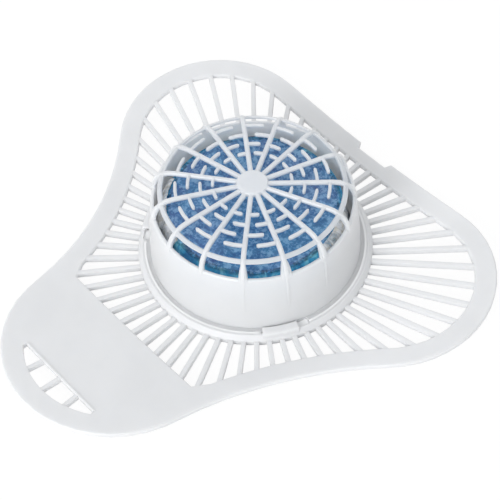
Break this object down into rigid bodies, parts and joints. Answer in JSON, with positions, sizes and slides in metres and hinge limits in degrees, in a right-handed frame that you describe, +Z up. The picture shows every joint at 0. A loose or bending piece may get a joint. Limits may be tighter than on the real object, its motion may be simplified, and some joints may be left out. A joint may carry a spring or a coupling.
{
  "type": "urinal deodorizer screen",
  "caption": "Dished, three-lobed ribbed urinal mat with a slotted finger tab, carrying a round deodorant block under a clip-on spider-web cage.",
  "frame": {"origin": "On the axis of the cage and the block, at the middle of the hub's flat underside, which rests on the drain.", "axes": "+Z up along the cage's axis, away from the drain. The finger tab points along -Y and the straight side with the notch faces +Y."},
  "size_m": [0.1798, 0.1781, 0.0405],
  "materials": {
    "mat_plastic": "satin white moulded plastic",
    "cage_plastic": "semi-gloss white moulded plastic",
    "block_wax": "pressed blue deodorant block in a clear soluble wrapper"
  },
  "bodies": {
    "root": {"screen": "mat_plastic", "cage": "cage_plastic", "block": "block_wax"}
  },
  "joints": []
}
